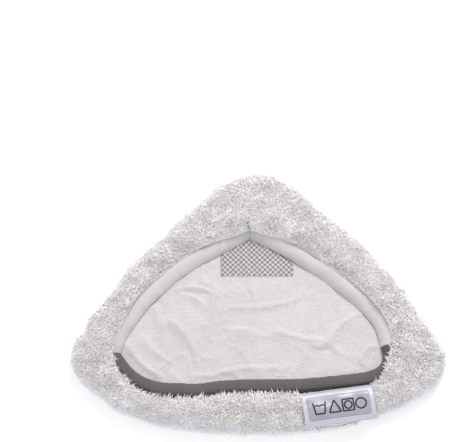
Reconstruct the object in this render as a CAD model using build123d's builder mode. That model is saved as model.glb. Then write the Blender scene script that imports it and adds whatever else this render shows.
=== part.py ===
"""Fitted pile-cloth pad for a triangular floor-mop head, 340 x 262 mm.

Frame: X across the pad, +Y towards the nose, +Z up, millimetres.
The sole lies on Z = 0 and the plan is centred on the origin.
The pile is part of each cloth's thickness.
"""

from build123d import *
import os

os.makedirs("parts", exist_ok=True)

# Plan of the pad: two bowed front edges and a bowed rear edge, corners rounded.
NOSE_Y = 146.24
CORNER_X = 192.9
CORNER_Y = -84.5
FRONT_BOW = 18.0
REAR_BOW = 46.5
NOSE_RADIUS = 55.0
CORNER_RADIUS = 55.0

# Plan of the mouth: nose, shoulder, throat, corner and straight rear edge.
MOUTH_NOSE_Y = 64.0
SHOULDER = (93.0, 3.0)
THROAT = (114.0, -32.0)
MOUTH_CORNER = (122.0, -50.0)
HEEL = (103.0, -77.0)
MOUTH_REAR_Y = -79.0

# The cuff's ends run from the mouth's corners to the pad's edge.
CUFF_END_Y = -64.0
CUFF_GAP = 0.6

# Heights of the layers.
SOLE_TOP = 5.0
CORE_TOP = 7.5
LINING_TOP = 8.5
PATCH_TOP = 9.3
ROOF_LOW = 16.5
ROOF_TOP = 22.0

# Walls and rolled edges.
WALL = 7.0
CORE_INSET = 8.0
ROLL_RADIUS = 9.0
SOLE_ROLL = 3.0
SEAM_SIZE = 1.4

# Front binding tape, folded round the collar's edge.
TAPE_WIDTH = 12.0
TAPE_WALL = 1.2
TAPE_LOW = 15.5
TAPE_TOP = 20.7

# Rear band, a casing for the elastic, folded round the cuff's edge.
BAND_WIDTH = 13.0
BAND_WALL = 1.5
BAND_LOW = 15.0
BAND_TOP = 21.0
ELASTIC_LOW = 16.2
ELASTIC_TOP = 17.7
ELASTIC_WIDTH = 7.5

# Mesh patch on the lining.
PATCH_WIDTH = 66.0
PATCH_REAR_Y = 26.0
PATCH_NOSE_Y = 88.0

# Label: its sewn edge is centred here and turned to follow the band.
LABEL_CENTRE = (72.0, -89.5)
LABEL_TURN = 8.0
LABEL_WIDTH = 62.0
LABEL_LENGTH = 32.0
LABEL_THICKNESS = 0.8
LABEL_LIFT = 0.4

# Thread.
THREAD_WIDTH = 0.8
THREAD_HEIGHT = 0.4
TACK_HEIGHT = 0.7


def redrawn(plan):
    """The same plan, its boundary drawn again as plain lines and arcs."""
    with BuildSketch(mode=Mode.PRIVATE) as result:
        with BuildLine():
            for edge in plan.face().outer_wire().edges():
                if edge.geom_type == GeomType.LINE:
                    Line(edge @ 0, edge @ 1)
                else:
                    ThreePointArc(edge @ 0, edge @ 0.5, edge @ 1)
        make_face()
    return result.sketch


def grown(plan, amount):
    """The plan grown outwards, or shrunk when the amount is negative."""
    with BuildSketch(mode=Mode.PRIVATE) as result:
        add(plan)
        offset(amount=amount, mode=Mode.REPLACE)
    return redrawn(result.sketch)


def layer(plan, low, high, hole=None):
    """A flat layer of the plan between two heights, with an optional hole."""
    with BuildPart(mode=Mode.PRIVATE) as result:
        with BuildSketch(Plane.XY.offset(low)):
            add(plan)
            if hole is not None:
                add(hole, mode=Mode.SUBTRACT)
        extrude(amount=high - low)
    return result.part


# ---------------------------------------------------------------- plans
with BuildSketch() as cover_sketch:
    with BuildLine():
        SagittaArc((0, NOSE_Y), (CORNER_X, CORNER_Y), FRONT_BOW)
        SagittaArc((CORNER_X, CORNER_Y), (-CORNER_X, CORNER_Y), REAR_BOW)
        SagittaArc((-CORNER_X, CORNER_Y), (0, NOSE_Y), FRONT_BOW)
    make_face()
    fillet(cover_sketch.vertices().sort_by(Axis.Y)[-1], NOSE_RADIUS)
    outer_corners = cover_sketch.vertices().sort_by(Axis.X)
    fillet([outer_corners[0], outer_corners[-1]], CORNER_RADIUS)
cover = redrawn(cover_sketch.sketch)

with BuildSketch() as mouth_sketch:
    with BuildLine():
        right_side = [
            (0, MOUTH_NOSE_Y),
            SHOULDER,
            THROAT,
            MOUTH_CORNER,
            HEEL,
            (0, MOUTH_REAR_Y),
        ]
        left_side = [(-x, y) for x, y in reversed(right_side[1:-1])]
        Polyline(*right_side, *left_side, close=True)
    make_face()

    def mouth_vertices(point):
        x, y = point
        return [
            v
            for v in mouth_sketch.vertices()
            if abs(abs(v.X) - x) < 0.1 and abs(v.Y - y) < 0.1
        ]

    fillet(mouth_vertices((0, MOUTH_NOSE_Y)), 3.0)
    fillet(mouth_vertices(SHOULDER), 30.0)
    fillet(mouth_vertices(THROAT), 30.0)
    fillet(mouth_vertices(MOUTH_CORNER), 4.0)
    fillet(mouth_vertices(HEEL), 36.0)
    fillet(mouth_vertices((0, MOUTH_REAR_Y)), 300.0)
mouth = redrawn(mouth_sketch.sketch)

with BuildSketch() as cuff_zone_sketch:
    with BuildLine():
        Polyline(
            (-230, CUFF_END_Y),
            (-MOUTH_CORNER[0], MOUTH_CORNER[1]),
            MOUTH_CORNER,
            (230, CUFF_END_Y),
            (230, -200),
            (-230, -200),
            close=True,
        )
    make_face()
cuff_zone = cuff_zone_sketch.sketch
collar_limit = grown(cuff_zone, CUFF_GAP)

with BuildSketch() as left_half_sketch:
    Rectangle(300, 600, align=(Align.MAX, Align.CENTER))
left_half = left_half_sketch.sketch

# ---------------------------------------------------------------- sole and lining
with BuildPart() as sole_cloth:
    add(layer(cover, 0, SOLE_TOP))
    fillet(sole_cloth.faces().sort_by(Axis.Z)[0].edges(), SOLE_ROLL)
    add(layer(cover, SOLE_TOP - SEAM_SIZE, SOLE_TOP, grown(cover, -SEAM_SIZE)), mode=Mode.SUBTRACT)

with BuildPart() as perimeter_seam:
    add(layer(cover, SOLE_TOP - SEAM_SIZE, SOLE_TOP, grown(cover, -SEAM_SIZE)))

with BuildPart() as core_pad:
    add(layer(grown(cover, -CORE_INSET), SOLE_TOP, CORE_TOP))

with BuildPart() as lining:
    add(layer(grown(cover, -CORE_INSET), CORE_TOP, LINING_TOP))

# ---------------------------------------------------------------- mesh patch
with BuildSketch() as patch_sketch:
    with Locations((0, PATCH_REAR_Y)):
        Rectangle(PATCH_WIDTH, PATCH_NOSE_Y - PATCH_REAR_Y, align=(Align.CENTER, Align.MIN))
patch_plan = patch_sketch.sketch

with BuildPart() as mesh_patch:
    add(layer(patch_plan, LINING_TOP, PATCH_TOP))

with BuildPart() as mesh_patch_stitch:
    seam_outer = grown(patch_plan, -2.0)
    seam_inner = grown(patch_plan, -2.0 - THREAD_WIDTH)
    add(layer(seam_outer, PATCH_TOP, PATCH_TOP + 0.3, seam_inner))

# ---------------------------------------------------------------- pile ring, collar and cuff
with BuildPart() as ring:
    add(layer(cover, SOLE_TOP, ROOF_TOP, grown(mouth, TAPE_WIDTH)))
    fillet(ring.faces().sort_by(Axis.Z)[-1].outer_wire().edges(), ROLL_RADIUS)
    add(layer(grown(cover, -WALL), SOLE_TOP, ROOF_LOW), mode=Mode.SUBTRACT)

with BuildPart() as front_collar:
    add(ring.part)
    tongue = layer(
        grown(mouth, TAPE_WIDTH),
        TAPE_LOW + TAPE_WALL,
        TAPE_TOP - TAPE_WALL,
        grown(mouth, TAPE_WALL),
    )
    add(tongue)
    add(layer(collar_limit, 0, 40), mode=Mode.SUBTRACT)

with BuildPart() as rear_cuff:
    add(ring.part)
    add(layer(grown(mouth, BAND_WIDTH), 0, 40), mode=Mode.SUBTRACT)
    cuff_tongue = layer(
        grown(mouth, BAND_WIDTH),
        ELASTIC_TOP,
        BAND_TOP - BAND_WALL,
        grown(mouth, BAND_WALL),
    )
    add(cuff_tongue)
    add(layer(cuff_zone, SOLE_TOP + 0.4, 40), mode=Mode.INTERSECT)
    add(layer(cover, 0, 40, grown(cover, -WALL)), mode=Mode.SUBTRACT)

with BuildPart() as cuff_side:
    add(ring.part)
    add(layer(cuff_zone, SOLE_TOP + 0.4, 40), mode=Mode.INTERSECT)
    add(layer(grown(cover, -WALL), 0, 40), mode=Mode.SUBTRACT)

# ---------------------------------------------------------------- front bindings
with BuildPart() as tape:
    add(layer(grown(mouth, TAPE_WIDTH), TAPE_LOW, TAPE_TOP, mouth))
    add(tongue, mode=Mode.SUBTRACT)
    add(layer(collar_limit, 0, 40), mode=Mode.SUBTRACT)

with BuildPart() as left_binding:
    add(tape.part)
    add(layer(left_half, 0, 40), mode=Mode.INTERSECT)

with BuildPart() as right_binding:
    add(tape.part)
    add(layer(left_half, 0, 40), mode=Mode.SUBTRACT)

with BuildPart() as tape_thread:
    thread_outer = grown(mouth, TAPE_WIDTH - 1.0)
    thread_inner = grown(mouth, TAPE_WIDTH - 1.0 - THREAD_WIDTH)
    add(layer(thread_outer, TAPE_TOP, TAPE_TOP + THREAD_HEIGHT, thread_inner))
    add(layer(collar_limit, 0, 40), mode=Mode.SUBTRACT)
    with Locations((0, MOUTH_NOSE_Y + 4, TAPE_TOP)):
        Box(5, 14, 4, mode=Mode.SUBTRACT)

with BuildPart() as left_binding_stitch:
    add(tape_thread.part)
    add(layer(left_half, 0, 40), mode=Mode.INTERSECT)

with BuildPart() as right_binding_stitch:
    add(tape_thread.part)
    add(layer(left_half, 0, 40), mode=Mode.SUBTRACT)

# ---------------------------------------------------------------- rear band and elastic
with BuildPart() as rear_elastic:
    elastic_outer = grown(mouth, BAND_WALL + ELASTIC_WIDTH)
    elastic_inner = grown(mouth, BAND_WALL)
    add(layer(elastic_outer, ELASTIC_LOW, ELASTIC_TOP, elastic_inner))
    add(layer(cuff_zone, 0, 40), mode=Mode.INTERSECT)

with BuildPart() as rear_band:
    add(layer(grown(mouth, BAND_WIDTH), BAND_LOW, BAND_TOP, mouth))
    add(layer(cuff_zone, 0, 40), mode=Mode.INTERSECT)
    add(rear_elastic.part, mode=Mode.SUBTRACT)
    add(cuff_tongue, mode=Mode.SUBTRACT)

with BuildPart() as rear_band_stitch:
    band_outer = grown(mouth, BAND_WIDTH - 1.0)
    band_inner = grown(mouth, BAND_WIDTH - 1.0 - THREAD_WIDTH)
    add(layer(band_outer, BAND_TOP, BAND_TOP + THREAD_HEIGHT, band_inner))
    add(layer(cuff_zone, 0, 40), mode=Mode.INTERSECT)

# ---------------------------------------------------------------- bartacks
with BuildPart() as apex_bartack:
    with Locations((0, MOUTH_NOSE_Y + 4.5, TAPE_TOP)):
        Box(3.0, 7.0, TACK_HEIGHT, align=(Align.CENTER, Align.CENTER, Align.MIN))

with BuildPart() as right_corner_bartack:
    with Locations(Location((MOUTH_CORNER[0] + 0.5, MOUTH_CORNER[1] + 7.0, TAPE_TOP), (0, 0, 30))):
        Box(3.0, 6.0, TACK_HEIGHT, align=(Align.CENTER, Align.CENTER, Align.MIN))

with BuildPart() as left_corner_bartack:
    add(mirror(right_corner_bartack.part, about=Plane.YZ, mode=Mode.PRIVATE))

# ---------------------------------------------------------------- label
label_plane = Plane(
    Location((LABEL_CENTRE[0], LABEL_CENTRE[1], ROOF_TOP + LABEL_LIFT), (0, 0, LABEL_TURN))
)

with BuildPart() as label:
    with BuildSketch(label_plane):
        Rectangle(LABEL_WIDTH, LABEL_LENGTH, align=(Align.CENTER, Align.MAX))
    extrude(amount=LABEL_THICKNESS)
    fillet(label.edges().filter_by(Axis.Z), 1.0)

with BuildPart() as label_stitch:
    with BuildSketch(label_plane.offset(LABEL_THICKNESS)):
        with Locations((0, -2.0)):
            Rectangle(LABEL_WIDTH - 4.0, THREAD_WIDTH)
    extrude(amount=THREAD_HEIGHT)

# ---------------------------------------------------------------- output
pieces = {
    "sole_cloth": sole_cloth,
    "perimeter_seam": perimeter_seam,
    "core_pad": core_pad,
    "lining": lining,
    "mesh_patch": mesh_patch,
    "mesh_patch_stitch": mesh_patch_stitch,
    "front_collar": front_collar,
    "left_binding": left_binding,
    "right_binding": right_binding,
    "left_binding_stitch": left_binding_stitch,
    "right_binding_stitch": right_binding_stitch,
    "apex_bartack": apex_bartack,
    "left_corner_bartack": left_corner_bartack,
    "right_corner_bartack": right_corner_bartack,
    "rear_cuff": rear_cuff,
    "cuff_side": cuff_side,
    "rear_band": rear_band,
    "rear_elastic": rear_elastic,
    "rear_band_stitch": rear_band_stitch,
    "label": label,
    "label_stitch": label_stitch,
}

for name, piece in pieces.items():
    piece.part.label = name
    export_step(piece.part, f"parts/{name}.step")
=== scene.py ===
"""Looks of the fitted mop pad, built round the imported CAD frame.

Lengths are in millimetres until MM scales them."""
import math

import bmesh
import bpy
import numpy as np
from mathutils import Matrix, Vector


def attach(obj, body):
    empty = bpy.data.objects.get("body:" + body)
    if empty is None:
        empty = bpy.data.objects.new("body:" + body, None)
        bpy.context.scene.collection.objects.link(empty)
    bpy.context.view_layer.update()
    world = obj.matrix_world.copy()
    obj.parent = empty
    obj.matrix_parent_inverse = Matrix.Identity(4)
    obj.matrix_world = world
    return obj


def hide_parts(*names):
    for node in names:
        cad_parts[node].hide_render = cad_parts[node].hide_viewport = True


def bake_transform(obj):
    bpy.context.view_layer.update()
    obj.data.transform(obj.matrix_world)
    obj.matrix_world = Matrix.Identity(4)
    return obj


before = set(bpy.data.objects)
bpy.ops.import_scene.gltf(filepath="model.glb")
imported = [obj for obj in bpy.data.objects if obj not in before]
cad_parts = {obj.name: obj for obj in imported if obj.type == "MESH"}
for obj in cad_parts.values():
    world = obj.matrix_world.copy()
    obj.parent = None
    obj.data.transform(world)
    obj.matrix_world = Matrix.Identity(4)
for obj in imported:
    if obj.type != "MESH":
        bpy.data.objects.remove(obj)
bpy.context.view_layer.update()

MM = 0.001
SEED = 7
rng = np.random.default_rng(SEED)

# Heights, in mm, of the soft layers, without their pile.
SEAM_Z = 5.0
CORE_TOP = 6.9
LINING_Z = 8.9
COLLAR_INNER_Z = 14.9  # collar cloth where it meets the tape
CUFF_INNER_Z = 14.6  # cuff cloth where it meets the band
LAP_Z = 17.2  # either cloth where it laps over tape or band
ROOF_Z = 17.6  # top of collar and cuff
PILE_FLOOR = 0.05  # lowest point of the collar's and cuff's pile
# Widths that tape and band show where no cloth laps over them.
TAPE_W = 15.6
BAND_W = 16.0


# ------------------------------------------------------------------ curves
def evenly(points, count, closed=False):
    """Points spaced evenly along a polyline."""
    points = np.asarray(points, float)
    if closed:
        points = np.vstack([points, points[:1]])
    step = np.linalg.norm(np.diff(points, axis=0), axis=1)
    run = np.concatenate([[0], np.cumsum(step)])
    at = np.linspace(0, run[-1], count + 1)[:-1] if closed else np.linspace(0, run[-1], count)
    return np.stack([np.interp(at, run, points[:, k]) for k in range(points.shape[1])], 1)


def spline(points, count):
    """A smooth open curve through the points, evenly resampled."""
    p = np.asarray(points, float)
    p = np.vstack([2 * p[0] - p[1], p, 2 * p[-1] - p[-2]])
    out = []
    for a, b, c, d in zip(p, p[1:], p[2:], p[3:]):
        for t in np.linspace(0, 1, 24, endpoint=False):
            out.append(
                0.5
                * (
                    2 * b
                    + (c - a) * t
                    + (2 * a - 5 * b + 4 * c - d) * t * t
                    + (3 * b - a - 3 * c + d) * t**3
                )
            )
    out.append(p[-2])
    return evenly(out, count)


def hull(points):
    """Convex hull of plan points, anticlockwise."""
    pts = sorted(set(map(tuple, np.round(points, 3))))

    def half(seq):
        line = []
        for q in seq:
            while len(line) > 1:
                (ax, ay), (bx, by) = line[-2], line[-1]
                if (bx - ax) * (q[1] - ay) - (by - ay) * (q[0] - ax) > 0:
                    break
                line.pop()
            line.append(q)
        return line[:-1]

    return np.array(half(pts) + half(pts[::-1]))


def left_normals(curve):
    """Unit normals on the left of an open curve."""
    t = np.gradient(curve, axis=0)
    t /= np.linalg.norm(t, axis=1, keepdims=True)
    return np.stack([-t[:, 1], t[:, 0]], 1)


def ease(t):
    """A smooth step from 0 to 1."""
    t = np.clip(t, 0, 1)
    return t * t * (3 - 2 * t)


class Noise:
    """Smooth repeatable noise: a sum of random plane waves."""

    def __init__(self, size, waves=26, dims=3):
        turn = rng.normal(size=(waves, dims))
        turn /= np.linalg.norm(turn, axis=1, keepdims=True)
        self.k = turn * (2 * math.pi / size) * rng.uniform(0.55, 1.5, (waves, 1))
        self.ph = rng.uniform(0, 2 * math.pi, waves)
        self.gain = math.sqrt(2 / waves)

    def __call__(self, p):
        return np.sin(p @ self.k.T + self.ph).sum(-1) * self.gain


# The pad's edge comes from the CAD. Landmarks split it where collar and cuff meet.
seam_xy = np.array([v.co[:2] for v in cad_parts["perimeter_seam"].data.vertices]) / MM
edge = evenly(hull(seam_xy), 2400, closed=True)
start = np.argmax(edge[:, 1])
edge = np.roll(edge, -start, axis=0)[::-1]
edge = np.roll(edge, 1, axis=0)

# The cloth doesn't fill the outline evenly. Each entry: place, how far it draws in, how wide, in mm.
DRAWN_IN = [
    ((144.0, -97.0), 9.5, 22.0),
    ((116.0, -114.0), 6.5, 24.0),
    ((76.0, -125.0), 1.8, 28.0),
    ((30.0, -130.0), 2.6, 28.0),
    ((-15.0, -131.0), 2.4, 28.0),
    ((-58.0, -128.0), 1.2, 28.0),
    ((-95.0, -119.0), 0.8, 24.0),
    ((-124.0, -111.0), 4.6, 22.0),
    ((-151.0, -96.0), 8.5, 22.0),
    ((172.0, -60.0), -4.0, 22.0),
    ((-172.0, -56.0), -3.0, 18.0),
    ((-125.0, 20.0), -3.4, 60.0),
    ((112.0, 38.0), -4.2, 60.0),
]
for spot, amount, wide in DRAWN_IN:
    to_middle = np.array([0.0, -20.0]) - edge
    to_middle /= np.linalg.norm(to_middle, axis=1, keepdims=True)
    near = np.exp(-(((edge - spot) / wide) ** 2).sum(1))
    edge = edge + to_middle * (amount * near)[:, None]


def edge_between(a, b, count):
    """The pad's edge clockwise from the point nearest a to the one nearest b."""
    i = np.argmin(np.linalg.norm(edge - a, axis=1))
    j = np.argmin(np.linalg.norm(edge - b, axis=1))
    part = edge[i : j + 1] if j > i else np.vstack([edge[i:], edge[: j + 1]])
    return evenly(part, count)


# The mouth as it lies: nose a little left of centre, left side fuller than the right.
NOSE = (-6.3, 63.2)
CORNER_R = (113.4, -45.3)
CORNER_L = (-126.0, -50.8)
N_SIDE = 210
N_REAR = 380
mouth_right = spline(
    [NOSE, (8, 55.6), (33, 41), (58.5, 23.3), (82.5, 3.8), (98.5, -12.0), (109, -27.5), CORNER_R], N_SIDE
)
mouth_rear = spline(
    [CORNER_R, (114.8, -52.2), (113.2, -59.6), (107.8, -65.2), (94.5, -69.2), (67, -72.4), (37, -75.2)]
    + [(7.5, -75.3), (-24, -76.0), (-50.7, -79.0), (-74.4, -79.6), (-92.2, -77.5), (-106.5, -71.8)]
    + [(-117.3, -63.0), CORNER_L],
    N_REAR,
)
mouth_left = spline(
    [CORNER_L, (-122.3, -39), (-115.8, -27.5), (-100, -4.9), (-80, 15), (-75, 20.5), (-59.6, 32.2)]
    + [(-36, 45.8), NOSE],
    N_SIDE,
)
END_R = (170.0, -60.0)
END_L = (-170.0, -60.0)
edge_right = edge_between((0.0, 131.0), END_R, N_SIDE)
edge_rear = edge_between(END_R, END_L, N_REAR)
edge_left = edge_between(END_L, (0.0, 131.0), N_SIDE)


# ------------------------------------------------------------------ meshes
def new_object(name, verts, faces, materials, smooth=True, slots=None):
    """An object from arrays in mm. faces is an array of quads or a list of polygons."""
    mesh = bpy.data.meshes.new(name)
    verts = np.asarray(verts, float) * MM
    if isinstance(faces, np.ndarray):
        n, k = faces.shape
        mesh.vertices.add(len(verts))
        mesh.vertices.foreach_set("co", verts.ravel())
        mesh.loops.add(n * k)
        mesh.loops.foreach_set("vertex_index", faces.ravel().astype(np.int32))
        mesh.polygons.add(n)
        mesh.polygons.foreach_set("loop_start", np.arange(0, n * k, k, dtype=np.int32))
    else:
        mesh.from_pydata(verts.tolist(), [], faces)
    for m in materials:
        mesh.materials.append(m)
    if slots is not None:
        mesh.polygons.foreach_set("material_index", np.asarray(slots, np.int32))
    mesh.update(calc_edges=True)
    mesh.validate()
    mesh.polygons.foreach_set("use_smooth", np.full(len(mesh.polygons), smooth))
    obj = bpy.data.objects.new(name, mesh)
    bpy.context.scene.collection.objects.link(obj)
    return obj


def grid_faces(rows, cols, close_cols=False):
    """Quads of a grid whose vertex index is row * cols + col."""
    r = np.arange(rows - 1)
    c = np.arange(cols if close_cols else cols - 1)
    r, c = np.meshgrid(r, c, indexing="ij")
    r2, c2 = r + 1, (c + 1) % cols
    return np.stack([r * cols + c, r2 * cols + c, r2 * cols + c2, r * cols + c2], -1).reshape(-1, 4)


def grid_normals(p):
    """Unit vertex normals of a grid of points (rows, cols, 3)."""
    n = np.cross(np.gradient(p, axis=0), np.gradient(p, axis=1))
    return n / np.maximum(np.linalg.norm(n, axis=-1, keepdims=True), 1e-9)


def shell(name, p, thickness, materials, flip=False):
    """A closed cloth of a given thickness from a grid of outer points."""
    rows, cols = p.shape[:2]
    n = grid_normals(p) * (-1 if flip else 1)
    both = np.concatenate([p.reshape(-1, 3), (p - n * thickness).reshape(-1, 3)])
    top = grid_faces(rows, cols)
    low = top[:, ::-1] + rows * cols
    ring = np.concatenate(
        [
            np.arange(cols),
            np.arange(1, rows) * cols + cols - 1,
            (rows - 1) * cols + np.arange(cols - 2, -1, -1),
            np.arange(rows - 2, 0, -1) * cols,
        ]
    )
    nxt = np.roll(ring, -1)
    side = np.stack([ring, nxt, nxt + rows * cols, ring + rows * cols], 1)
    faces = np.concatenate([top, low, side])
    if flip:
        faces = faces[:, ::-1]
    obj = new_object(name, both, faces, materials)
    fix_normals(obj)
    return obj


def fix_normals(obj):
    """Turns a closed piece's faces outward."""
    bm = bmesh.new()
    bm.from_mesh(obj.data)
    bmesh.ops.recalc_face_normals(bm, faces=bm.faces)
    bm.to_mesh(obj.data)
    bm.free()


def unit(v):
    """The vectors scaled to length 1."""
    return v / np.maximum(np.linalg.norm(v, axis=-1, keepdims=True), 1e-9)


def scatter(p, count):
    """Random places on a grid surface: points, normals, fractions across it and the ways across it."""
    rows, cols = p.shape[:2]
    a, b, c = p[:-1, :-1], p[1:, :-1], p[:-1, 1:]
    area = np.linalg.norm(np.cross(b - a, c - a), axis=-1)
    pick = rng.choice(area.size, count, p=area.ravel() / area.sum())
    r, k = np.divmod(pick, cols - 1)
    u, v = rng.random(count)[:, None], rng.random(count)[:, None]
    n = grid_normals(p)

    def mix(q):
        return (
            q[r, k] * (1 - u) * (1 - v)
            + q[r + 1, k] * u * (1 - v)
            + q[r, k + 1] * (1 - u) * v
            + q[r + 1, k + 1] * u * v
        )

    normal = mix(n)
    across = (k + v[:, 0]) / (cols - 1)
    outward_way = p[r, -1] - p[r, 0]
    return mix(p), unit(normal), across, unit(outward_way)


def strands(name, roots, dirs, bends, lengths, radii, floor):
    """Pile: one closed, tapered, bent three-sided tuft at each root, none below floor."""
    n = len(roots)
    dirs = dirs / np.linalg.norm(dirs, axis=1, keepdims=True)
    side = np.cross(dirs, rng.normal(size=(n, 3)))
    side /= np.linalg.norm(side, axis=1, keepdims=True)
    other = np.cross(dirs, side)
    mid = roots + dirs * lengths[:, None] * 0.55
    tip = roots + dirs * lengths[:, None] * 0.8 + bends * lengths[:, None] * 0.45
    mid[:, 2] = np.maximum(mid[:, 2], floor)
    tip[:, 2] = np.maximum(tip[:, 2], floor)
    rings = []
    for centre, scale in ((roots - dirs * 0.8, 1.0), (mid, 0.85)):
        for k in range(3):
            ang = 2 * math.pi * k / 3
            rings.append(
                centre + (side * math.cos(ang) + other * math.sin(ang)) * (radii * scale)[:, None]
            )
    verts = np.stack(rings + [tip], 1).reshape(-1, 3)
    verts[:, 2] = np.maximum(verts[:, 2], floor)
    tris = [(0, 2, 1)]
    for k in range(3):
        k2 = (k + 1) % 3
        tris += [(k, k2, 3 + k2), (k, 3 + k2, 3 + k), (3 + k, 3 + k2, 6)]
    faces = (np.arange(n)[:, None, None] * 7 + np.array(tris)[None]).reshape(-1, 3)
    slots = np.repeat(rng.integers(0, len(PILE), n), len(tris))
    return new_object(name, verts, faces, PILE, slots=slots)


# ------------------------------------------------------------------ materials
def shader(name, colour, roughness, sheen=0.0, specular=0.3):
    """A Principled material and its node tree."""
    m = bpy.data.materials.new(name)
    m.use_nodes = True
    p = m.node_tree.nodes["Principled BSDF"]
    p.inputs["Base Color"].default_value = (*colour, 1)
    p.inputs["Roughness"].default_value = roughness
    p.inputs["Specular IOR Level"].default_value = specular
    p.inputs["Sheen Weight"].default_value = sheen
    p.inputs["Sheen Roughness"].default_value = 0.5
    return m, p


def node(tree, kind, **values):
    n = tree.nodes.new(kind)
    for key, value in values.items():
        if key in n.inputs:
            n.inputs[key].default_value = value
        else:
            setattr(n, key.lower(), value)
    return n


def woven(name, colour, dark, pitch_rows, pitch_cols, bump, roughness, sheen=0.1, specular=0.25, cloud=0.25):
    """Cloth with threads across and along, a cloudy tint and thread bump. Pitches are in mm."""
    m, p = shader(name, colour, roughness, sheen, specular)
    t = m.node_tree
    link = t.links.new
    where = node(t, "ShaderNodeTexCoord")
    rows = node(t, "ShaderNodeTexWave", wave_type="BANDS", bands_direction="Y", Scale=314.16 / pitch_rows)
    rows.inputs["Distortion"].default_value = 1.2
    rows.inputs["Detail"].default_value = 2
    rows.inputs["Detail Scale"].default_value = 0.35
    cols = node(t, "ShaderNodeTexWave", wave_type="BANDS", bands_direction="X", Scale=314.16 / pitch_cols)
    cols.inputs["Distortion"].default_value = 0.8
    cols.inputs["Detail"].default_value = 2
    cols.inputs["Detail Scale"].default_value = 0.35
    tint = node(t, "ShaderNodeTexNoise", Scale=45.0, Detail=6.0, Roughness=0.62)
    weave = node(t, "ShaderNodeMix", data_type="FLOAT")
    weave.inputs[0].default_value = 0.35
    mix = node(t, "ShaderNodeMix", data_type="FLOAT")
    mix.inputs[0].default_value = cloud
    ramp = node(t, "ShaderNodeMix", data_type="RGBA")
    ramp.inputs[6].default_value = (*dark, 1)
    ramp.inputs[7].default_value = (*colour, 1)
    for n in (rows, cols, tint):
        link(where.outputs["Object"], n.inputs["Vector"])
    link(rows.outputs["Fac"], weave.inputs[2])
    link(cols.outputs["Fac"], weave.inputs[3])
    link(weave.outputs[0], mix.inputs[2])
    link(tint.outputs["Fac"], mix.inputs[3])
    link(mix.outputs[0], ramp.inputs[0])
    link(ramp.outputs[2], p.inputs["Base Color"])
    b = node(t, "ShaderNodeBump", Strength=bump, Distance=0.0006)
    link(weave.outputs[0], b.inputs["Height"])
    link(b.outputs["Normal"], p.inputs["Normal"])
    return m


def fleece(name, colour, dark):
    """The ground cloth under the pile."""
    m, p = shader(name, colour, 0.95, 0.3, 0.1)
    t = m.node_tree
    where = node(t, "ShaderNodeTexCoord")
    fine = node(t, "ShaderNodeTexNoise", Scale=620.0, Detail=4.0, Roughness=0.7)
    ramp = node(t, "ShaderNodeMix", data_type="RGBA")
    ramp.inputs[6].default_value = (*dark, 1)
    ramp.inputs[7].default_value = (*colour, 1)
    b = node(t, "ShaderNodeBump", Strength=0.6, Distance=0.001)
    t.links.new(where.outputs["Object"], fine.inputs["Vector"])
    t.links.new(fine.outputs["Fac"], ramp.inputs[0])
    t.links.new(ramp.outputs[2], p.inputs["Base Color"])
    t.links.new(fine.outputs["Fac"], b.inputs["Height"])
    t.links.new(b.outputs["Normal"], p.inputs["Normal"])
    return m


def ribbed(name, colour, dark):
    """The lining: fine cross ribs broken by slubs, under a cloudy tint."""
    m, p = shader(name, colour, 0.85, 0.15, 0.2)
    t = m.node_tree
    link = t.links.new
    where = node(t, "ShaderNodeTexCoord")
    ribs = node(t, "ShaderNodeTexWave", wave_type="BANDS", bands_direction="Y", Scale=314.16 / 2.0)
    ribs.inputs["Distortion"].default_value = 3.5
    ribs.inputs["Detail"].default_value = 3
    ribs.inputs["Detail Scale"].default_value = 0.5
    stretch = node(t, "ShaderNodeMapping")
    stretch.inputs["Scale"].default_value = (0.8, 1.0, 1.0)
    slubs = node(t, "ShaderNodeTexNoise", Scale=640.0, Detail=3.0, Roughness=0.6)
    cloud = node(t, "ShaderNodeTexNoise", Scale=38.0, Detail=6.0, Roughness=0.62)
    thread = node(t, "ShaderNodeMix", data_type="FLOAT")
    thread.inputs[0].default_value = 0.86
    mix = node(t, "ShaderNodeMix", data_type="FLOAT")
    mix.inputs[0].default_value = 0.3
    ramp = node(t, "ShaderNodeMix", data_type="RGBA")
    ramp.inputs[6].default_value = (*dark, 1)
    ramp.inputs[7].default_value = (*colour, 1)
    link(where.outputs["Object"], ribs.inputs["Vector"])
    link(where.outputs["Object"], stretch.inputs["Vector"])
    link(where.outputs["Object"], cloud.inputs["Vector"])
    link(stretch.outputs["Vector"], slubs.inputs["Vector"])
    link(ribs.outputs["Fac"], thread.inputs[2])
    link(slubs.outputs["Fac"], thread.inputs[3])
    link(thread.outputs[0], mix.inputs[2])
    link(cloud.outputs["Fac"], mix.inputs[3])
    steep = node(t, "ShaderNodeMapRange")
    steep.inputs["From Min"].default_value = 0.33
    steep.inputs["From Max"].default_value = 0.65
    link(mix.outputs[0], steep.inputs["Value"])
    link(steep.outputs["Result"], ramp.inputs[0])
    link(ramp.outputs[2], p.inputs["Base Color"])
    b = node(t, "ShaderNodeBump", Strength=0.8, Distance=0.0006)
    link(thread.outputs[0], b.inputs["Height"])
    link(b.outputs["Normal"], p.inputs["Normal"])
    return m


def fibre(name, colour):
    """One shade of the pile: microfibre that lets light through."""
    m, p = shader(name, colour, 0.9, 0.25, 0.1)
    p.inputs["Subsurface Weight"].default_value = 0.6
    p.inputs["Subsurface Radius"].default_value = (1.0, 1.0, 1.0)
    p.inputs["Subsurface Scale"].default_value = 0.0012
    return m


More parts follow.
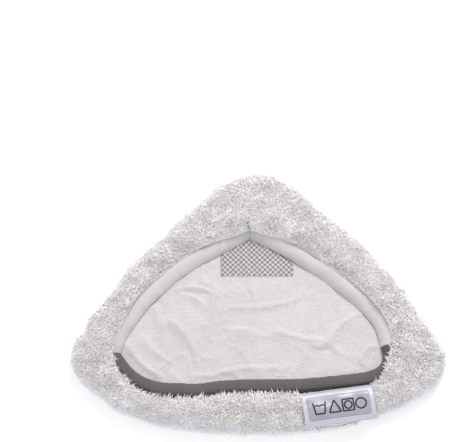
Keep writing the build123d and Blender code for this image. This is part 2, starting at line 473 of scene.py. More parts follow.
PILE = [
    fibre("pile_light", (0.97, 0.945, 0.94)),
    fibre("pile_mid", (0.96, 0.93, 0.922)),
    fibre("pile_warm", (0.96, 0.925, 0.912)),
    fibre("pile_shade", (0.94, 0.912, 0.91)),
]
# The pile's ground cloth is its own pale colour, made a little greyer than the fibres: that grey is painted
# shade for the gaps between tufts.
GROUND = fleece("pile_ground", (0.88, 0.865, 0.86), (0.76, 0.75, 0.75))
LINING = ribbed("lining_rib", (0.585, 0.56, 0.552), (0.455, 0.433, 0.428))
TAPE = woven("tape_weave", (0.58, 0.555, 0.552), (0.49, 0.468, 0.466), 0.9, 0.9, 0.25, 0.8, 0.15, 0.2, 0.5)
BAND = woven("band_weave", (0.135, 0.116, 0.115), (0.070, 0.060, 0.062), 1.3, 1.3, 0.45, 0.7, 0.1, 0.2, 0.5)
MESH = woven("mesh_yarn", (0.066, 0.060, 0.060), (0.042, 0.039, 0.039), 0.7, 0.7, 0.2, 0.6)
SATIN = woven("label_satin", (0.50, 0.49, 0.555), (0.42, 0.41, 0.47), 0.5, 0.5, 0.06, 0.3, 0.1, 0.5)
THREAD = shader("thread_pale", (0.38, 0.368, 0.364), 0.7, 0.1)[0]
THREAD_DARK = shader("thread_dark_grey", (0.10, 0.09, 0.09), 0.7, 0.1)[0]
FIELD = woven("label_print", (0.33, 0.33, 0.375), (0.27, 0.27, 0.315), 0.5, 0.5, 0.05, 0.3, 0.1, 0.5)
INK = shader("label_ink", (0.012, 0.011, 0.018), 0.45)[0]
ELASTIC = woven("elastic_web", (0.75, 0.75, 0.73), (0.6, 0.6, 0.58), 0.8, 1.0, 0.3, 0.7)
WADDING = fleece("wadding_felt", (0.85, 0.84, 0.82), (0.74, 0.73, 0.71))

# ------------------------------------------------------------------ joins at the nose and corners
def join(a, b):
    """The mitre direction, with its length, between the end of curve a and the start of curve b."""
    n1, n2 = left_normals(a)[-1], left_normals(b)[0]
    m = (n1 + n2) / np.linalg.norm(n1 + n2)
    return m * min(1.3, 1 / (m @ n1))


AT_NOSE = join(mouth_left, mouth_right)
AT_RIGHT = join(mouth_right, mouth_rear)
AT_LEFT = join(mouth_rear, mouth_left)
PARTS = {
    "right": (mouth_right, edge_right, AT_NOSE, AT_RIGHT),
    "rear": (mouth_rear, edge_rear, AT_RIGHT, AT_LEFT),
    "left": (mouth_left, edge_left, AT_LEFT, AT_NOSE),
}


def outward(part, width):
    """The mouth's curve moved outwards, mitred with its neighbours at both ends. width may vary along it."""
    curve, _, first, last = PARTS[part]
    width = np.broadcast_to(width, len(curve))
    p = curve + left_normals(curve) * width[:, None]
    run = np.linspace(0, 1, len(curve)) * np.linalg.norm(np.diff(curve, axis=0), axis=1).sum()
    near = 6 + 1.2 * width
    p = p + (curve[0] + first * width[0] - p[0]) * ease(1 - run / near)[:, None]
    return p + (curve[-1] + last * width[-1] - p[-1]) * ease(1 - (run[-1] - run) / near)[:, None]


def length_along(curve):
    """Distance from the curve's start to each of its points."""
    return np.concatenate([[0], np.cumsum(np.linalg.norm(np.diff(curve, axis=0), axis=1))])


# ------------------------------------------------------------------ ring of pile cloth
lumps = Noise(26)
ripple = Noise(11)
Noise(60)  # unused, but its draws keep every later noise as it is


def ring_grid(part, width, full_width, low_z, swell):
    """Outer points of the ring from width outside the mouth to the seam: (along, across, 3).

    Where width is less than the tape's full width, the pile cloth laps over the tape."""
    rim = PARTS[part][1]
    inner = outward(part, width)
    inner_z = low_z + (LAP_Z - low_z) * ease((full_width - width) / 2.5)
    out = rim - inner
    reach = np.linalg.norm(out, axis=1)
    out = out / reach[:, None]
    rows = []
    for t in np.linspace(0, 1, 15):
        d = t * (reach - 12.0)
        z = inner_z + (ROOF_Z - inner_z) * ease(d / 13.0) + swell * np.sin(math.pi * t) ** 2
        rows.append(np.column_stack([inner + out * d[:, None], z]))
    for a in np.linspace(math.pi / 2, 0, 9)[1:]:
        d = reach - 12.0 + 7.0 * math.cos(a)
        z = np.full_like(reach, 9.5 + (ROOF_Z - 9.5) * math.sin(a))
        rows.append(np.column_stack([inner + out * d[:, None], z]))
    for t in np.linspace(0, 1, 5)[1:]:
        d = reach - 5.0 - 1.0 * ease(t)
        z = np.full_like(reach, 9.5 - (9.5 - SEAM_Z) * t)
        rows.append(np.column_stack([inner + out * d[:, None], z]))
    p = np.stack(rows, 1)
    n = grid_normals(p)
    if n[:, 3, 2].mean() < 0:
        n = -n
    across = np.linspace(0, 1, p.shape[1])
    give = ease(across * 6) * ease((1 - across) * 5)
    push = (lumps(p) * 0.9 + ripple(p) * 0.35) * give[None]
    return p + n * push[..., None]


# How much of tape and band shows, against the way from each end: at the nose and the corners the
# pile cloth laps over them.
run_rear = length_along(mouth_rear)
run_right = length_along(mouth_right)
run_left = length_along(mouth_left)
band_shown = np.minimum(
    np.interp(run_rear, [0, 4, 9, 15, 21, 27, 36], [12.5, 8.5, 5.5, 5.0, 8.5, 13.5, BAND_W]),
    np.interp(run_rear[-1] - run_rear, [0, 8, 20, 36], [6.5, 10.0, 13.5, BAND_W]),
)
tape_right_shown = np.minimum(
    np.interp(run_right, [0, 12, 26, 48, 70], [6.0, 8.5, 12.0, 15.0, TAPE_W]),
    np.interp(run_right[-1] - run_right, [0, 14, 40, 70], [11.5, 12.0, 13.5, TAPE_W]),
)
tape_left_shown = np.minimum(
    np.interp(run_left, [0, 16, 34, 60], [6.0, 9.0, 12.0, TAPE_W]),
    np.interp(run_left[-1] - run_left, [0, 14, 30, 60], [6.0, 8.5, 12.0, TAPE_W]),
)
grid_right = ring_grid("right", tape_right_shown - 0.6, TAPE_W - 0.6, COLLAR_INNER_Z, 0.8)
grid_left = ring_grid("left", tape_left_shown - 0.6, TAPE_W - 0.6, COLLAR_INNER_Z, 0.8)
grid_rear = ring_grid("rear", band_shown, BAND_W + 1.6, CUFF_INNER_Z, 0.6)
middle = int(np.argmin(np.abs(mouth_rear[:, 0])))


def peel(obj):
    """Bakes a cuff piece's placement into its mesh."""
    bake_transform(obj)


def fix(obj, body, slot, *nodes):
    """Rides a piece on a body and hides the CAD nodes it stands for. slot is not used."""
    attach(obj, body)
    if nodes:
        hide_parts(*nodes)
    return obj


# Cloth of the collar, two wings joined at the nose in one piece.
grid_front = np.concatenate([grid_left, grid_right[1:]])
collar = shell("collar_cloth", grid_front, 2.0, [GROUND])
fix(collar, "sole", "pile", "front_collar")

cuff_halves = {1: grid_rear[: middle + 1], -1: grid_rear[middle:]}
SIDE_NAME = {1: "right", -1: "left"}
for side, grid in cuff_halves.items():
    cuff = shell(f"cuff_cloth_{SIDE_NAME[side]}", grid, 2.0, [GROUND])
    peel(cuff)
    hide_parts("rear_cuff", "cuff_side")

# ------------------------------------------------------------------ label's place, needed by the pile
LABEL_TURN = math.radians(8.0)
LABEL_U = np.array([math.cos(LABEL_TURN), math.sin(LABEL_TURN)])
LABEL_V = np.array([math.sin(LABEL_TURN), -math.cos(LABEL_TURN)])
LABEL_AT = np.array([70.4, -86.6])
LABEL_SIZE = (65.5, 32.6)


def under_label(p):
    """1 where a point lies under the label, 0 away from it."""
    q = p[:, :2] - LABEL_AT
    u, v = q @ LABEL_U, q @ LABEL_V
    return (np.abs(u) < LABEL_SIZE[0] / 2 - 0.5) & (v > -6.0) & (v < LABEL_SIZE[1] - 1.0)


# ------------------------------------------------------------------ pile
comb = [Noise(17) for _ in range(3)]
tuft = [Noise(3.2) for _ in range(3)]
curl = [Noise(5.0) for _ in range(3)]
beside_lock = Noise(5.5)
PILE_DENSITY = 1.35
PILE_LENGTH = 3.9
SOLE_PILE_DENSITY = 0.55
SOLE_PILE_LENGTH = 4.3
SOLE_PILE_FLOOR = 0.02
MOST_STRANDS = 18500  # in one piece, so that it stays under 200,000 triangles
LONG_OVERHANG = 0.5


def field(noises, p):
    """A smooth random vector at each point."""
    return np.stack([f(p) for f in noises], 1)


def pile(name, grid, count, overhang):
    """Pile scattered over a grid of cloth, combed by smooth noise into leaning, curling tufts.

    overhang is how far the tufts beside the tape or band lean over it. Past LONG_OVERHANG they are
    longer there too."""
    root, normal, across, way = scatter(grid, count)
    clump = field(tuft, root)
    lean = field(comb, root) * 0.11 + clump * 0.09 + rng.normal(size=root.shape) * 0.48
    lean[:, 2] -= 0.2
    beside = np.exp(-across / 0.07)[:, None]
    lock = np.clip(0.5 + 0.7 * beside_lock(root), 0, 1)[:, None]
    lean = lean * (1 - 0.6 * beside) - way * overhang * beside * (0.4 + 1.2 * lock)
    lean -= normal * (lean * normal).sum(1, keepdims=True)
    direction = unit(normal + lean)
    bend = direction + field(curl, root) * 0.18 + rng.normal(size=root.shape) * 0.42
    bend[:, 2] -= 0.12
    lengths = PILE_LENGTH * rng.uniform(0.7, 1.2, count)
    if overhang > LONG_OVERHANG:
        lengths *= 1 + 0.6 * (beside * lock)[:, 0]
    lengths = np.where(under_label(root) & (root[:, 2] > 6), lengths * 0.4, lengths)
    radii = rng.uniform(0.30, 0.44, count)
    return strands(name, root, direction, unit(bend), lengths, radii, PILE_FLOOR)


def surface(grid):
    """Area of a grid, in square mm."""
    a, b, c = grid[:-1, :-1], grid[1:, :-1], grid[:-1, 1:]
    return float(np.linalg.norm(np.cross(b - a, c - a), axis=-1).sum())


def facing_out(grid):
    """The grid with its rows in the order that makes its normals point out of the cloth."""
    return grid if grid_normals(grid)[:, 3, 2].mean() > 0 else grid[::-1]


def cover_with_pile(stem, grid, place, overhang):
    """Several pile pieces, each with few enough triangles, over one grid."""
    total = int(surface(grid) * PILE_DENSITY)
    parts = max(1, math.ceil(total / MOST_STRANDS))
    for k in range(parts):
        name = stem if parts == 1 else f"{stem}_{k + 1}"
        place(pile(name, grid, total // parts, overhang))


for side, grid in ((1, grid_right), (-1, grid_left)):
    cover_with_pile(
        f"collar_pile_{SIDE_NAME[side]}", facing_out(grid), lambda o: fix(o, "sole", "pile"), 0.1
    )
for side, grid in cuff_halves.items():

    def on_cuff(o, side=side):
        peel(o)

    cover_with_pile(f"cuff_pile_{SIDE_NAME[side]}", facing_out(grid), on_cuff, 0.6)


# ------------------------------------------------------------------ sole, core and lining
def inset(amount, count):
    """The pad's edge shrunk evenly and resampled."""
    closed = np.vstack([edge[-1:], edge, edge[:1]])
    n = left_normals(closed)[1:-1]
    return evenly(edge - n * amount, count, closed=True)


def disc_grid(outline, rings, centre=(0.0, -25.0)):
    """Copies of an outline shrinking to a centre: (ring, around, 2)."""
    c = np.array(centre)
    s = np.linspace(1, 0.01, rings)[:, None, None]
    return c + (outline[None] - c) * s


def slab(name, outline, rings, top_z, low_z, materials, roll=0.0):
    """A closed flat piece from two height functions of plan points. roll rounds its rim."""
    plan = disc_grid(outline, rings)
    k, n = plan.shape[:2]
    top = np.dstack([plan, top_z(plan)])
    low = np.dstack([plan, low_z(plan)])
    if roll:
        mid = (top[0] + low[0]) / 2
        top[0, :, 2] = top[0, :, 2] * 0.6 + mid[:, 2] * 0.4
        low[0, :, 2] = low[0, :, 2] * 0.6 + mid[:, 2] * 0.4
    verts = np.concatenate([top.reshape(-1, 3), low.reshape(-1, 3)])
    up = grid_faces(k, n, close_cols=True)
    down = up[:, ::-1] + k * n
    ring = np.arange(n)
    side = np.stack([ring, (ring + 1) % n, (ring + 1) % n + k * n, ring + k * n], 1)
    last = (k - 1) * n
    faces = np.concatenate([up, down, side]).tolist()
    faces.append([last + i for i in range(n)][::-1])
    faces.append([k * n + last + i for i in range(n)])
    obj = new_object(name, verts, faces, materials)
    fix_normals(obj)
    return obj


def flat(z):
    """A level height function for slab()."""
    return lambda plan: np.full(plan.shape[:2], z)


sole = slab("sole_cloth_base", inset(5.0, 420), 24, flat(5.0), flat(2.9), [GROUND], roll=1)
fix(sole, "sole", "pile", "sole_cloth")

puff = Noise(30, dims=2)


def core_top(plan):
    return CORE_TOP + 0.25 * puff(plan.reshape(-1, 2)).reshape(plan.shape[:2])


core = slab("core_wadding", inset(10.0, 260), 60, core_top, flat(5.15), [WADDING], roll=1)
fix(core, "sole", "wadding", "core_pad")

# Creases of the lining: from, to, height, half width and bow to one side, in mm.
CREASES = [
    ((-120, -40), (-86, -73), 2.4, 2.6, -5.0),
    ((-84, -16), (-56, -62), 2.8, 3.6, 7.0),
    ((-76, 13), (-38, 8), 2.6, 2.0, 4.0),
    ((-74, 8), (-50, -2), 2.0, 2.4, 3.0),
    ((-98, -2), (-90, -34), 1.8, 3.8, 3.0),
    ((-106, -32), (-76, -60), 1.8, 3.0, -4.0),
    ((-22, -6), (36, 2), 1.2, 4.4, -3.0),
    ((-42, 6), (-48, -26), 1.7, 3.4, 2.0),
    ((-30, -28), (10, -34), 1.2, 4.0, 3.0),
    ((62, -42), (94, -12), 2.2, 3.6, 4.0),
    ((16, -26), (60, -36), 1.4, 4.2, -4.0),
    ((94, -60), (108, -40), 1.5, 2.6, 3.0),
    ((-40, -70), (30, -65), 1.5, 3.4, 4.0),
]
swell = Noise(70, dims=2)
rumple = Noise(20, dims=2)


def lining_laid(plan):
    """Height of the lining as laid: soft swells and sewn-in creases."""
    q = plan.reshape(-1, 2)
    z = LINING_Z + 0.55 * np.tanh(swell(q)) + 0.28 * np.tanh(rumple(q))
    for a, b, height, half, bow in CREASES:
        a, b = np.array(a, float), np.array(b, float)
        span = np.linalg.norm(b - a)
        way = (b - a) / span
        along = (q - a) @ way / span
        off = (q - a) @ np.array([-way[1], way[0]]) - bow * np.sin(math.pi * np.clip(along, 0, 1))
        fade = ease(np.clip(along * 4 + 0.4, 0, 1)) * ease(np.clip((1 - along) * 2.2 + 0.3, 0, 1))
        steep = off / half * (1 + 0.5 * np.tanh(off / half))
        z += height * np.exp(-(steep**2)) * fade
    return z.reshape(plan.shape[:-1])


def inside(points, polygon):
    """Whether each plan point lies inside a closed polygon."""
    x, y = points[:, 0], points[:, 1]
    crossings = np.zeros(len(points), int)
    for (ax, ay), (bx, by) in zip(polygon, np.roll(polygon, -1, axis=0)):
        if ay != by:
            spans = (ay > y) != (by > y)
            crossings += spans & (x < ax + (y - ay) * (bx - ax) / (by - ay))
    return crossings % 2 == 1


# The lining is cut a little larger than its seam and settles on the core. It mostly sinks, by under a
# millimetre; the creases that show are those laid above. Its cloth is simulated ten times full size,
# where the solver is steadier, and only its rise and fall is kept, within RISE_LIMITS.
SETTLE_X = np.arange(-132.0, 133.0, 3.5)
SETTLE_Y = np.arange(-96.0, 83.0, 3.5)
SETTLE_SCALE = 10.0
SPARE = 0.008
SETTLE_FRAMES = 26
RISE_LIMITS = (-1.3, 2.2)


def settled():
    """How far the lining rises or falls at each point of a plan grid once it has settled."""
    plan = np.stack(np.meshgrid(SETTLE_X, SETTLE_Y, indexing="ij"), -1)
    start = lining_laid(plan)
    flat_plan = plan.reshape(-1, 2)
    free = inside(flat_plan, np.vstack([outward(part, 6.0) for part in ("right", "rear", "left")]))
    verts = np.column_stack([flat_plan, start.ravel()]) * SETTLE_SCALE
    cloth = new_object("settling", verts, grid_faces(*start.shape), [])
    held = cloth.vertex_groups.new(name="held")
    held.add(np.flatnonzero(~free).tolist(), 1.0, "REPLACE")
    modifier = cloth.modifiers.new("settle", "CLOTH")
    settings = modifier.settings
    settings.quality = 6
    settings.mass = 0.15
    settings.tension_stiffness = 25
    settings.compression_stiffness = 25
    settings.bending_stiffness = 0.6
    settings.shrink_min = -SPARE
    settings.vertex_group_mass = "held"
    modifier.collision_settings.distance_min = 0.004
    corners = [(-200, -150), (200, -150), (200, 150), (-200, 150)]
    bed_verts = np.array([(x, y, CORE_TOP + 0.4) for x, y in corners]) * SETTLE_SCALE
    bed = new_object("settling_bed", bed_verts, [(0, 1, 2, 3)], [])
    bed.modifiers.new("bed", "COLLISION")
    bed.collision.thickness_outer = 0.004
    for frame_number in range(1, SETTLE_FRAMES):
        bpy.context.scene.frame_set(frame_number)
    result = cloth.evaluated_get(bpy.context.evaluated_depsgraph_get())
    after = np.array([v.co[:] for v in result.data.vertices]) / MM / SETTLE_SCALE
    rise = (after[:, 2] - verts[:, 2] / SETTLE_SCALE).reshape(start.shape)
    for obj in (cloth, bed):
        bpy.data.objects.remove(obj)
    bpy.context.scene.frame_set(1)
    return np.clip(rise, *RISE_LIMITS)


rise_of_lining = settled()


def lining_z(plan):
    """Height of the lining as it lies, settled where the mouth shows it."""
    z = lining_laid(plan)
    if rise_of_lining is None:
        return z
    u = np.clip((plan[..., 0] - SETTLE_X[0]) / (SETTLE_X[1] - SETTLE_X[0]), 0, len(SETTLE_X) - 1.001)
    v = np.clip((plan[..., 1] - SETTLE_Y[0]) / (SETTLE_Y[1] - SETTLE_Y[0]), 0, len(SETTLE_Y) - 1.001)
    i, j = u.astype(int), v.astype(int)
    u, v = u - i, v - j
    r = rise_of_lining
    return (
        z
        + r[i, j] * (1 - u) * (1 - v)
        + r[i + 1, j] * u * (1 - v)
        + r[i, j + 1] * (1 - u) * v
        + r[i + 1, j + 1] * u * v
    )


lining = slab(
    "lining_cloth", inset(9.0, 490), 100, lining_z, lambda p: lining_z(p) - 0.7, [LINING]
)
fix(lining, "sole", "lining", "lining")


# A gusset stands behind the lining along the rear.
gusset_z = np.linspace(3.1, 10.5, 15)
gusset_inset = np.interp(gusset_z, [5.5, 8.0, 10.5], [7.8, 7.9, 8.3])
gusset_grid = np.stack(
    [
        np.column_stack([edge_rear - left_normals(edge_rear) * amount, np.full(len(edge_rear), z)])
        for amount, z in zip(gusset_inset, gusset_z)
    ],
    1,
)
edge_middle = int(np.argmin(np.abs(edge_rear[:, 0])))
for side, half in {1: slice(None, edge_middle + 1), -1: slice(edge_middle, None)}.items():
    gusset = shell(f"rear_gusset_{SIDE_NAME[side]}", gusset_grid[half], 0.9, [GROUND])
    peel(gusset)


def sole_pile_grid():
    """Underside and rim of the sole, as one grid whose normals point down and out."""
    rim = inset(5.0, 420)
    rows = []
    for a in np.linspace(90, -90, 7):
        r = math.radians(a)
        out = inset(5.6 - 1.1 * math.cos(r), 420)
        rows.append(np.column_stack([out, np.full(420, 3.9 + 1.0 * math.sin(r))]))
    for ring in disc_grid(rim, 40)[1:]:
        rows.append(np.column_stack([ring, np.full(420, 2.9)]))
    p = np.stack(rows, 1)
    p = np.concatenate([p, p[:1]])
    n = grid_normals(p)
    return p if n[:, -5, 2].mean() < 0 else p[::-1]


def sole_pile():
    grid = sole_pile_grid()
    total = int(surface(grid) * SOLE_PILE_DENSITY)
    parts = math.ceil(total / MOST_STRANDS)
    for k in range(parts):
        root, normal, _, _ = scatter(grid, total // parts)
        flow = field(comb, root) * 0.7 + rng.normal(size=root.shape) * 0.45
        flow[:, 2] = 0
        direction = normal + flow
        direction /= np.linalg.norm(direction, axis=1, keepdims=True)
        bend = direction + field(curl, root) * 0.8 + flow
        bend /= np.linalg.norm(bend, axis=1, keepdims=True)
        count = len(root)
        lengths = SOLE_PILE_LENGTH * rng.uniform(0.75, 1.2, count)
        radii = rng.uniform(0.36, 0.56, count)
        obj = strands(f"sole_pile_{k + 1}", root, direction, bend, lengths, radii, SOLE_PILE_FLOOR)
        fix(obj, "sole", "pile")


sole_pile()

# ------------------------------------------------------------------ tape, band and elastic
pucker = Noise(6.0)
slack = Noise(34)


def strip(part, widths, heights, wrinkle):
    """Grid of a tape folded round the mouth's edge, from its hidden underside to its outer edge."""
    p = np.stack(
        [
            np.column_stack([outward(part, w), np.full(len(PARTS[part][0]), z)])
            for w, z in zip(widths, heights)
        ],
        1,
    )
    n = grid_normals(p)
    n = n if n[:, len(widths) // 2, 2].mean() > 0 else -n
    edge_gain = np.interp(widths, [0, 4, max(widths)], [0.5, 0.6, 1.0])
    p = p + n * (pucker(p) * wrinkle * edge_gain)[..., None]
    p[..., 2] += slack(p) * 0.5
    sit = lining_z(PARTS[part][0]) - LINING_Z
    p[..., 2] += sit[:, None] * ease(1 - np.asarray(widths) / 9.0)
    return p


TAPE_X = [5.5, 2.6, 0.9, 0.1, 0.0, 0.7, 2.2, 4.4, 7.2, 10.2, 11.7, 12.3, 12.8, 13.4, 14.4, 16.6]
TAPE_H = [9.5, 9.1, 8.9, 9.0, 9.5, 10.7, 12.4, 14.0, 15.1, 15.7, 15.9, 15.5, 15.5, 15.9, 15.8, 14.7]
BAND_X = [5.0, 2.4, 0.9, 0.1, 0.0, 0.5, 1.8, 4.0, 7.0, 10.0, 11.6, 12.6, 13.6, 17.2]
BAND_H = [10.2, 9.7, 9.6, 10.1, 11.2, 13.0, 14.4, 15.6, 16.0, 15.8, 15.0, 12.8, 11.6, 11.2]

tapes = {}
for part in ("left", "right"):
    grid = strip(part, TAPE_X, TAPE_H, 0.10)
    tapes[part] = grid
    tape = shell(f"{part}_binding_tape", grid, 0.9, [TAPE])
    fix(tape, "sole", "tape", f"{part}_binding")

band_grid = strip("rear", BAND_X, BAND_H, 0.16)
elastic_grid = strip("rear", [2.4, 4.4, 6.8, 9.2], [13.5, 14.3, 14.3, 13.9], 0.0)
for side, half in {1: slice(None, middle + 1), -1: slice(middle, None)}.items():
    for grid, thick, material, stem, slot, cad in (
        (band_grid, 1.0, BAND, "rear_band_tape", "band", "rear_band"),
        (elastic_grid, 1.2, ELASTIC, "elastic_strip", "elastic", "rear_elastic"),
    ):
        obj = shell(f"{stem}_{SIDE_NAME[side]}", grid[half], thick, [material])
        peel(obj)
        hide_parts(cad)


# ------------------------------------------------------------------ thread
def tubes(name, lines, wide, high, materials, sides=6, taper=True):
    """Flat-oval threads along several open lines of 3D points, in one mesh."""
    verts, faces, base = [], [], 0
    ang = np.arange(sides) * 2 * math.pi / sides
    for line in lines:
        line = np.asarray(line, float)
        t = np.gradient(line, axis=0)
        t /= np.maximum(np.linalg.norm(t, axis=1, keepdims=True), 1e-9)
        side = np.cross(t, (0, 0, 1.0))
        side /= np.maximum(np.linalg.norm(side, axis=1, keepdims=True), 1e-9)
        up = np.cross(side, t)
        size = np.ones(len(line))
        if taper:
            size[0] = size[-1] = 0.45
        ring = (
            line[:, None]
            + side[:, None] * (np.cos(ang) * wide / 2)[None, :, None] * size[:, None, None]
            + up[:, None] * (np.sin(ang) * high / 2)[None, :, None] * size[:, None, None]
        )
        k = len(line)
        verts.append(ring.reshape(-1, 3))
        faces += (grid_faces(k, sides, close_cols=True) + base).tolist()
        faces.append([base + i for i in range(sides)][::-1])
        faces.append([base + (k - 1) * sides + i for i in range(sides)])
        base += k * sides
    obj = new_object(name, np.concatenate(verts), faces, materials)
    fix_normals(obj)
    return obj


def stitches(line, pitch, length, rise):
    """Short arched lines along a path: each stitch dips into the cloth at both ends."""
    step = np.linalg.norm(np.diff(line, axis=0), axis=1)
    run = np.concatenate([[0], np.cumsum(step)])
    out = []
    for k in range(int(run[-1] / pitch)):
        at = (k + 0.5) * pitch + np.linspace(-length / 2, length / 2, 5)
        q = np.stack([np.interp(at, run, line[:, i]) for i in range(3)], 1)
        q[:, 2] += rise * np.array([-1.0, 0.5, 1.0, 0.5, -1.0])
        out.append(q)
    return out


for part in ("left", "right"):
    seam = (tapes[part][:, 11] + tapes[part][:, 12]) / 2 + np.array([0, 0, 0.15])
    sewn = tubes(f"{part}_binding_thread", stitches(seam, 2.7, 2.1, 0.22), 0.5, 0.4, [THREAD])
    fix(sewn, "sole", "thread_light", f"{part}_binding_stitch")

for side, half in {1: slice(None, middle + 1), -1: slice(middle, None)}.items():
    seam = band_grid[half, 11] + np.array([0, 0, 0.2])
    sewn = tubes(
        f"rear_band_thread_{SIDE_NAME[side]}", stitches(seam, 2.7, 2.1, 0.22), 0.5, 0.4, [THREAD_DARK]
    )
    peel(sewn)
    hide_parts("rear_band_stitch")

round_edge = np.vstack([inset(4.6, 1200), inset(4.6, 1200)[:1]])
seam_line = np.column_stack([round_edge, np.full(len(round_edge), SEAM_Z + 0.1)])
seam_thread = tubes("perimeter_thread", stitches(seam_line, 3.2, 2.6, 0.1), 0.8, 0.7, [THREAD])
fix(seam_thread, "sole", "thread_light", "perimeter_seam")


def zigzag(a, b, width, turns, z):
    """A bartack: dense zigzag from a to b."""
    a, b = np.array(a, float), np.array(b, float)
    along = (b - a) / np.linalg.norm(b - a)
    across = np.array([-along[1], along[0]])
    points = []
    for k in range(2 * turns + 1):
        q = a + (b - a) * k / (2 * turns) + across * width / 2 * (1 if k % 2 else -1)
        points.append((*q, z))
    return evenly(points, 10 * turns)


# Tacks: where each sits, and how high.
TACKS = {
    "apex_bartack": ((-6.6, 68.0), (-9.2, 76.5), 2.4, 4, 19.6, THREAD_DARK, "thread_dark"),
    "right_corner_bartack": ((119.5, -45.5), (125.5, -46.3), 1.6, 4, 17.5, THREAD, "thread_light"),
    "left_corner_bartack": ((-129.5, -49.5), (-134.5, -50.0), 1.6, 4, 17.3, THREAD, "thread_light"),
}
for name, (a, b, width, turns, z, thread, slot) in TACKS.items():
    tack = tubes(name + "_thread", [zigzag(a, b, width, turns, z)], 0.5, 0.45, [thread])
    fix(tack, "sole", slot, name)

# ------------------------------------------------------------------ mesh patch
PATCH = (-34.3, 34.3, 25.5, 88.0)
CELL = 5.0
YARN_STEP = 0.92


def clipped(c, sign):
    """Points YARN_STEP apart in x, along x + sign * y = c inside the patch."""
    x0, x1, y0, y1 = PATCH
    x = np.arange(x0, x1 + 0.01, YARN_STEP)
    y = (c - x) * sign
    keep = (y >= y0) & (y <= y1)
    return np.stack([x[keep], y[keep]], 1)


yarns = []
for sign in (1, -1):
    lo = PATCH[0] + min(sign * PATCH[2], sign * PATCH[3])
    hi = PATCH[1] + max(sign * PATCH[2], sign * PATCH[3])
    for c in np.arange(math.ceil(lo / CELL) * CELL, hi, CELL):
        q = clipped(c, sign)
        if len(q) < 3:
            continue
        weave = 0.14 * sign * np.cos(math.pi * (q[:, 0] - sign * q[:, 1]) / CELL)
        yarns.append(np.column_stack([q, lining_z(q[None])[0] + 0.18 + weave]))
mesh_patch = tubes("mesh_patch_net", yarns, 0.55, 0.34, [MESH], taper=False)
fix(mesh_patch, "sole", "mesh", "mesh_patch")

x0, x1, y0, y1 = PATCH
frame_line = evenly([(x0 + 1, y1), (x0 + 1, y0 + 1), (x1 - 1, y0 + 1), (x1 - 1, y1)], 200)
frame_line = np.column_stack([frame_line, lining_z(frame_line[None])[0] + 1.15])
patch_thread = tubes("mesh_patch_thread", stitches(frame_line, 3.0, 2.2, 0.3), 0.45, 0.4, [THREAD])
fix(patch_thread, "sole", "thread_light", "mesh_patch_stitch")

# ------------------------------------------------------------------ label
label_wave = Noise(24, dims=2)


def label_point(u, v, lift=0.0):
    """A place on the label, u across it from its centre and v down from its sewn edge."""
    q = LABEL_AT + np.multiply.outer(u, LABEL_U) + np.multiply.outer(v, LABEL_V)
    z = np.interp(v, [0, 1.5, 4, 9, 16, 24, 29, 32], [16.9, 18.6, 20.2, 21.5, 22.0, 21.3, 19.8, 18.2])
    flat_q = np.stack([u, v], -1).reshape(-1, 2)
    z = z + 0.35 * label_wave(flat_q).reshape(np.shape(z)) * ease(v / 10)
    return np.dstack([q, z + lift]) if np.ndim(u) > 1 else np.column_stack([q, z + lift])


U, V = np.meshgrid(
    np.linspace(-LABEL_SIZE[0] / 2, LABEL_SIZE[0] / 2, 61), np.linspace(0, LABEL_SIZE[1], 41), indexing="ij"
)
label = shell("satin_label", label_point(U, V), 0.6, [SATIN], flip=True)
fix(label, "label", "label", "label")


def circle(cu, cv, r):
    """A closed circle on the label."""
    a = np.radians(np.linspace(0, 360, 25))
    return np.stack([cu + r * np.cos(a), cv + r * np.sin(a)], 1)


# A plain printed field, rounded at its corners.
FIELD_U, FIELD_V, FIELD_ROUND = (-28.5, 28.5), (6.0, 27.8), 2.0
panel_u, panel_v = np.meshgrid(np.linspace(*FIELD_U, 53), np.linspace(*FIELD_V, 25), indexing="ij")
corner_u = np.clip(np.abs(panel_u) - (FIELD_U[1] - FIELD_ROUND), 0, None)
middle_v, half_v = sum(FIELD_V) / 2, (FIELD_V[1] - FIELD_V[0]) / 2
corner_v = np.clip(np.abs(panel_v - middle_v) - (half_v - FIELD_ROUND), 0, None)
shrink = np.maximum(np.hypot(corner_u, corner_v) / FIELD_ROUND, 1)
panel_u = panel_u - np.sign(panel_u) * corner_u * (1 - 1 / shrink)
panel_v = panel_v - np.sign(panel_v - middle_v) * corner_v * (1 - 1 / shrink)
field_print = shell("label_field", label_point(panel_u, panel_v, 0.12), 0.1, [FIELD], flip=True)
fix(field_print, "label", "label")

# Plain wash-care pictograms: tub, triangle, circle in a square, circle.
signs = [
    [(-23.5, 11.5), (-21.8, 22.5), (-13.7, 22.5), (-12, 11.5)],
    [(-22.8, 15.5), (-20.2, 14.4), (-17.7, 15.6), (-15.2, 14.4), (-12.7, 15.5)],
    [(-9.6, 22.5), (-4.2, 11.5), (1.2, 22.5), (-9.6, 22.5)],
    [(3.2, 12), (13.4, 12), (13.4, 22.5), (3.2, 22.5), (3.2, 12)],
    circle(8.3, 17.25, 3.4),
    circle(20.0, 17.25, 4.7),
]
sign_lines = []
for s in signs:
    q = evenly(np.asarray(s, float), 60)
    sign_lines.append(label_point(q[:, 0], q[:, 1], 0.25))
pictograms = tubes("label_pictograms", sign_lines, 1.35, 0.4, [INK])
fix(pictograms, "label", "label")

sew = np.column_stack([np.linspace(-31.5, 31.5, 120), np.full(120, 1.6)])
label_seam = label_point(sew[:, 0], sew[:, 1], 0.3)
label_thread = tubes("label_thread", stitches(label_seam, 2.6, 2.0, 0.2), 0.45, 0.4, [THREAD])
fix(label_thread, "label", "thread_light", "label_stitch")

# ------------------------------------------------------------------ stage
scene = bpy.context.scene
scene.view_settings.view_transform = "Standard"
scene.view_settings.look = "None"
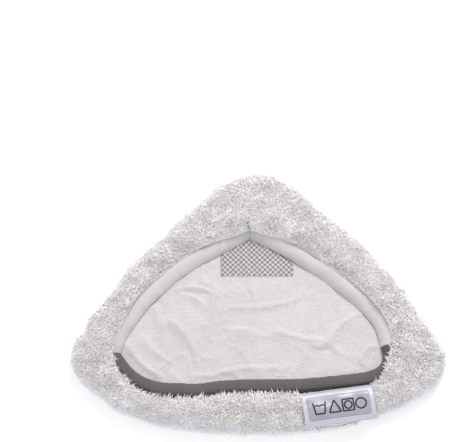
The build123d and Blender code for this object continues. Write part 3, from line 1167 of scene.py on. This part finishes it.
# White pile passes light on many times, so its paths are long.
scene.cycles.max_bounces = 16
scene.cycles.diffuse_bounces = 10

world = bpy.data.worlds.new("studio")
world.use_nodes = True
world.node_tree.nodes["Background"].inputs["Color"].default_value = (1.0, 1.0, 1.0, 1)
world.node_tree.nodes["Background"].inputs["Strength"].default_value = 0.78
scene.world = world

floor = new_object(
    "floor", [(-4000, -4000, -0.4), (4000, -4000, -0.4), (4000, 4000, -0.4), (-4000, 4000, -0.4)],
    [(0, 1, 2, 3)], [], smooth=False
)
floor_paint, floor_shader = shader("floor_paint", (0.70, 0.70, 0.705), 0.9, 0.0, 0.0)
floor_shader.inputs["Emission Color"].default_value = (1, 1, 1, 1)
floor_shader.inputs["Emission Strength"].default_value = 0.36
floor.data.materials.append(floor_paint)


def lamp(name, place, aim, size, power, colour=(1, 1, 1)):
    """A round soft light. Unlike the rest, place and aim are in metres."""
    data = bpy.data.lights.new(name, "AREA")
    data.shape = "DISK"
    data.size = size
    data.energy = power
    data.color = colour
    obj = bpy.data.objects.new(name, data)
    obj.location = place
    obj.rotation_euler = (Vector(aim) - Vector(place)).to_track_quat("-Z", "Y").to_euler()
    scene.collection.objects.link(obj)


lamp("key", (0.35, 1.15, 1.4), (0, 0, 0), 0.7, 26.5)
lamp("fill", (-1.0, -0.4, 1.4), (0, 0, 0), 1.2, 4)
lamp("cool", (0.0, -1.5, 0.12), (0, -0.1, 0), 0.3, 6, (0.6, 0.74, 1.0))

# The pad lies right of and below the middle of the view, seen from behind its rear edge.
ELEVATION = math.radians(67.5)
DISTANCE = 1.6
target = Vector((-0.0306, 0.0806, 0.012))
camera_data = bpy.data.cameras.new("camera")
camera_data.lens = 135.2
camera_data.sensor_width = 36.0
camera = bpy.data.objects.new("camera", camera_data)
camera.location = target + DISTANCE * Vector((0, -math.cos(ELEVATION), math.sin(ELEVATION)))
camera.rotation_euler = (target - camera.location).to_track_quat("-Z", "Y").to_euler()
scene.collection.objects.link(camera)
scene.camera = camera
